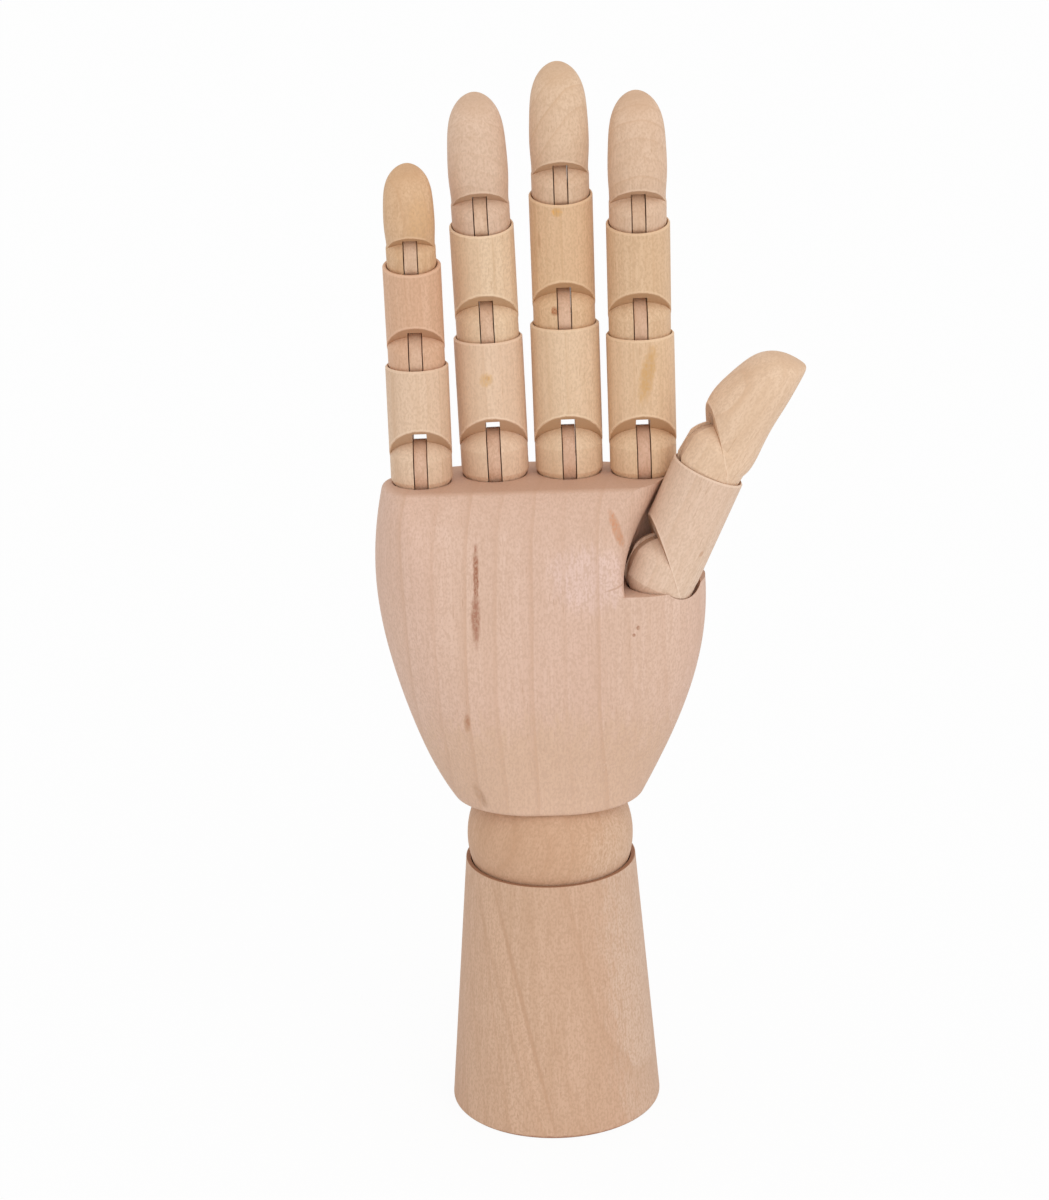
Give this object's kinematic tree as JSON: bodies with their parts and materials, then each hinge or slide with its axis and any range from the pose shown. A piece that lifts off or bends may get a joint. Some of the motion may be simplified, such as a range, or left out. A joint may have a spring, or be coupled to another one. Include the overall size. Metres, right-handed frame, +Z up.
{
  "type": "hand mannequin",
  "caption": "Jointed wooden artist's hand on a turned forearm base, with fingers that bend on pinned knuckles and a sprung ball wrist that holds a pose.",
  "frame": {"origin": "middle of the foot's flat underside", "axes": "+Z up along the hand, -Y out of the palm's front, +X towards the thumb"},
  "size_m": [0.1174, 0.0598, 0.301],
  "materials": {
    "forearm_base": "sanded, bare",
    "wrist_ball": "sanded, bare",
    "palm": "sanded, bare",
    "little_proximal": "sanded, bare",
    "little_middle": "sanded, bare",
    "little_tip": "sanded, bare",
    "ring_proximal": "sanded, bare",
    "ring_middle": "sanded, bare",
    "ring_tip": "sanded, bare",
    "middle_proximal": "sanded, bare",
    "middle_middle": "sanded, bare",
    "middle_tip": "sanded, bare",
    "index_proximal": "sanded, bare",
    "index_middle": "sanded, bare",
    "index_tip": "sanded, bare",
    "thumb_proximal": "sanded, bare",
    "thumb_tip": "sanded, bare",
    "tongue": "sanded, bare",
    "steel": "drawn wire"
  },
  "bodies": {
    "base": {"forearm_base": "forearm_base", "lower_spring_pin": "steel"},
    "spring": {"wrist_spring": "steel"},
    "ball": {"wrist_ball": "wrist_ball"},
    "hand": {"palm": "palm", "upper_spring_pin": "steel", "little_root_tongue": "tongue", "ring_root_tongue": "tongue", "middle_root_tongue": "tongue", "index_root_tongue": "tongue", "thumb_root_tongue": "tongue"},
    "little_lower": {"little_proximal": "little_proximal", "little_root_pin": "steel", "little_middle_tongue": "tongue"},
    "little_mid": {"little_middle": "little_middle", "little_middle_pin": "steel", "little_tip_tongue": "tongue"},
    "little_end": {"little_tip": "little_tip", "little_tip_pin": "steel"},
    "ring_lower": {"ring_proximal": "ring_proximal", "ring_root_pin": "steel", "ring_middle_tongue": "tongue"},
    "ring_mid": {"ring_middle": "ring_middle", "ring_middle_pin": "steel", "ring_tip_tongue": "tongue"},
    "ring_end": {"ring_tip": "ring_tip", "ring_tip_pin": "steel"},
    "middle_lower": {"middle_proximal": "middle_proximal", "middle_root_pin": "steel", "middle_middle_tongue": "tongue"},
    "middle_mid": {"middle_middle": "middle_middle", "middle_middle_pin": "steel", "middle_tip_tongue": "tongue"},
    "middle_end": {"middle_tip": "middle_tip", "middle_tip_pin": "steel"},
    "index_lower": {"index_proximal": "index_proximal", "index_root_pin": "steel", "index_middle_tongue": "tongue"},
    "index_mid": {"index_middle": "index_middle", "index_middle_pin": "steel", "index_tip_tongue": "tongue"},
    "index_end": {"index_tip": "index_tip", "index_tip_pin": "steel"},
    "thumb_lower": {"thumb_proximal": "thumb_proximal", "thumb_root_pin": "steel", "thumb_tip_tongue": "tongue"},
    "thumb_end": {"thumb_tip": "thumb_tip", "thumb_tip_pin": "steel"}
  },
  "joints": [
    {"name": "wrist_turn", "type": "hinge", "parent": "base", "child": "spring", "pos_m": [0, 0, 0.0817], "axis": [0, 0, 1], "range_deg": [-90, 90], "deforming": ["wrist_spring"]},
    {"name": "wrist_nod", "type": "hinge", "parent": "spring", "child": "ball", "pos_m": [0, 0, 0.0817], "axis": [1, 0, 0], "range_deg": [-30, 30], "deforming": ["wrist_spring"]},
    {"name": "wrist_sway", "type": "hinge", "parent": "ball", "child": "hand", "pos_m": [0, 0, 0.0817], "axis": [0, 1, 0], "range_deg": [-25, 25], "deforming": ["wrist_spring"]},
    {"name": "little_root_bend", "type": "hinge", "parent": "hand", "child": "little_lower", "pos_m": [-0.0324, -0.0025, 0.19152], "axis": [1, 0, 0.007], "range_deg": [0, 66]},
    {"name": "little_middle_bend", "type": "hinge", "parent": "little_lower", "child": "little_mid", "pos_m": [-0.03262, -0.0025, 0.22284], "axis": [1, 0, 0.007], "range_deg": [-11, 62]},
    {"name": "little_tip_bend", "type": "hinge", "parent": "little_mid", "child": "little_end", "pos_m": [-0.03281, -0.00795, 0.25087], "axis": [1, 0, 0.007], "range_deg": [-9, 62]},
    {"name": "ring_root_bend", "type": "hinge", "parent": "hand", "child": "ring_lower", "pos_m": [-0.01251, 0.0032, 0.19194], "axis": [0.9997, 0, 0.0244], "range_deg": [0, 66]},
    {"name": "ring_middle_bend", "type": "hinge", "parent": "ring_lower", "child": "ring_mid", "pos_m": [-0.01342, 0.0032, 0.22904], "axis": [0.9997, 0, 0.0244], "range_deg": [-11, 62]},
    {"name": "ring_tip_bend", "type": "hinge", "parent": "ring_mid", "child": "ring_end", "pos_m": [-0.01418, -0.0029, 0.26042], "axis": [0.9997, 0, 0.0244], "range_deg": [-9, 62]},
    {"name": "middle_root_bend", "type": "hinge", "parent": "hand", "child": "middle_lower", "pos_m": [0.0078, 0.0038, 0.19194], "axis": [0.9999, 0, 0.0105], "range_deg": [0, 66]},
    {"name": "middle_middle_bend", "type": "hinge", "parent": "middle_lower", "child": "middle_mid", "pos_m": [0.00738, 0.0038, 0.23201], "axis": [0.9999, 0, 0.0105], "range_deg": [-11, 62]},
    {"name": "middle_tip_bend", "type": "hinge", "parent": "middle_mid", "child": "middle_end", "pos_m": [0.007, -0.00323, 0.26817], "axis": [0.9999, 0, 0.0105], "range_deg": [-9, 62]},
    {"name": "index_root_bend", "type": "hinge", "parent": "hand", "child": "index_lower", "pos_m": [0.02799, 0.002, 0.19188], "axis": [0.9999, 0, 0.0105], "range_deg": [0, 52]},
    {"name": "index_middle_bend", "type": "hinge", "parent": "index_lower", "child": "index_mid", "pos_m": [0.0276, 0.002, 0.22903], "axis": [0.9999, 0, 0.0105], "range_deg": [-11, 62]},
    {"name": "index_tip_bend", "type": "hinge", "parent": "index_mid", "child": "index_end", "pos_m": [0.02727, -0.00406, 0.26019], "axis": [0.9999, 0, 0.0105], "range_deg": [-9, 62]},
    {"name": "thumb_root_bend", "type": "hinge", "parent": "hand", "child": "thumb_lower", "pos_m": [0.03245, -0.0108, 0.1626], "axis": [-0.1896, 0.9781, 0.0852], "range_deg": [-1, 2]},
    {"name": "thumb_tip_bend", "type": "hinge", "parent": "thumb_lower", "child": "thumb_end", "pos_m": [0.04654, -0.0108, 0.19395], "axis": [-0.1896, 0.9781, 0.0852], "range_deg": [-40, 0]}
  ]
}
